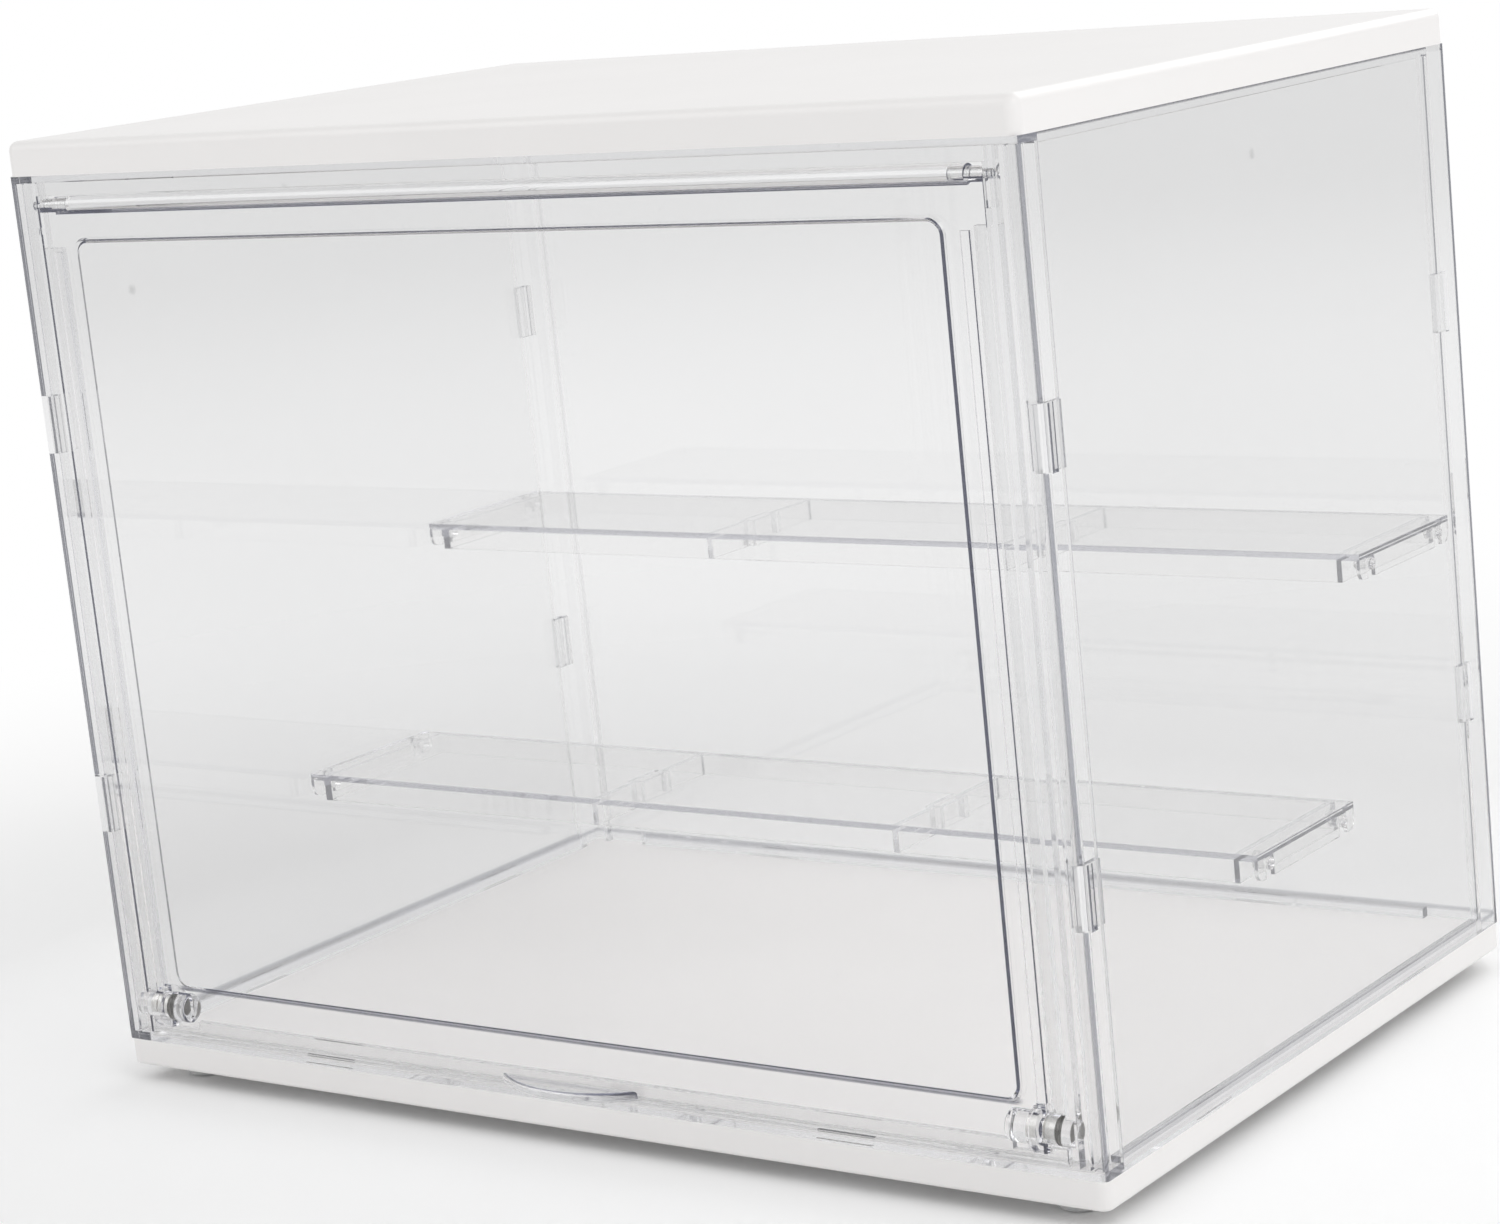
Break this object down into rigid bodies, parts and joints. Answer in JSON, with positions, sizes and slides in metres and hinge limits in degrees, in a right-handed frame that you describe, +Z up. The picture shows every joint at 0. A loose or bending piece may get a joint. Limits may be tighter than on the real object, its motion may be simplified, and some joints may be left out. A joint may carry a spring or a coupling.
{
  "type": "shoe display case",
  "caption": "Clear plastic display case for shoes with a white lid and base, a top-hung flip-up front door with magnet catches, and lift-off stepped shelves.",
  "frame": {"origin": "centre of the whole case at the level of its feet", "axes": "+X to the right seen from the front, +Y to the back, +Z up"},
  "size_m": [0.36, 0.2465, 0.296],
  "materials": {
    "white_plastic": "opaque white moulded plastic, satin gloss",
    "clear_plastic": "clear moulded polystyrene, polished",
    "foot_pad": "soft pale grey pad",
    "magnet": "nickel-plated disc magnet"
  },
  "bodies": {
    "case": {"base": "white_plastic", "lid": "white_plastic", "front_frame": "clear_plastic", "back_panel": "clear_plastic", "side_panel_right": "clear_plastic", "side_panel_left": "clear_plastic", "foot_front_left": "foot_pad", "foot_front_right": "foot_pad", "foot_back_left": "foot_pad", "foot_back_right": "foot_pad", "frame_magnet_right": "magnet", "frame_magnet_left": "magnet"},
    "door": {"door": "clear_plastic", "hinge_pin_right": "clear_plastic", "hinge_pin_left": "clear_plastic", "door_magnet_right": "magnet", "door_magnet_left": "magnet"},
    "lower_shelf": {"lower_shelf": "clear_plastic"},
    "upper_shelf": {"upper_shelf": "clear_plastic"}
  },
  "joints": [
    {"name": "door_hinge", "type": "hinge", "parent": "case", "child": "door", "pos_m": [0, -0.11255, 0.2764], "axis": [-1, 0, 0], "range_deg": [0, 90]},
    {"name": "lower_shelf_lift", "type": "slide", "parent": "case", "child": "lower_shelf", "axis": [0, 0, 1], "range_m": [0, 0.02]},
    {"name": "upper_shelf_lift", "type": "slide", "parent": "case", "child": "upper_shelf", "axis": [0, 0, 1], "range_m": [0, 0.02]}
  ]
}
